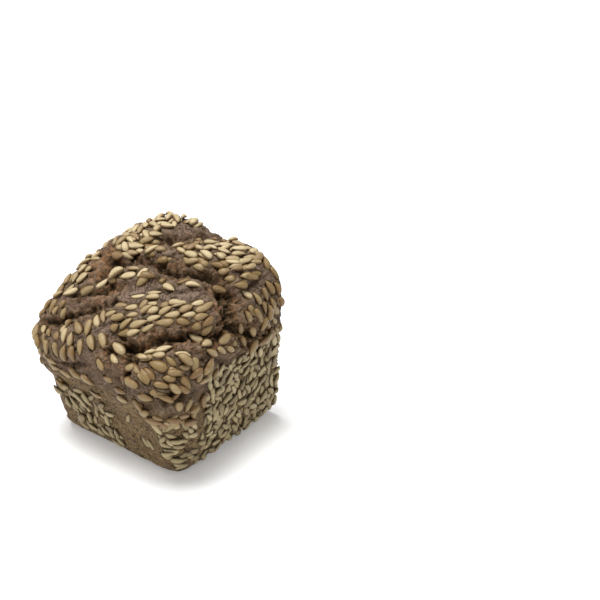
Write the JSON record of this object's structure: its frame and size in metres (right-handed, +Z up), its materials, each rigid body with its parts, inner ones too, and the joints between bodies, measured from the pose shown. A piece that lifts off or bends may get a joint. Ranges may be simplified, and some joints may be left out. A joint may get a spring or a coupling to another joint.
{
  "type": "bread loaf",
  "caption": "Half of a tin-baked rye loaf, cut straight across, with a split, domed crust and sunflower kernels pressed into its crust; food to set on a board, plate or shelf.",
  "frame": {"origin": "middle of the underside's bounding rectangle, on the surface that the loaf stands on", "axes": "+Z up, +Y out of the cut face along the loaf's length, -Y towards the rounded heel, +X to the right wall as seen from the heel"},
  "size_m": [0.1184, 0.1016, 0.1127],
  "materials": {
    "crust": "dry baked rye crust, purplish brown with dark splits and orange-brown tears, set with golden and grey-beige kernels; the cut face is darker, fine-pored crumb"
  },
  "bodies": {
    "root": {"loaf": "crust"}
  },
  "joints": []
}
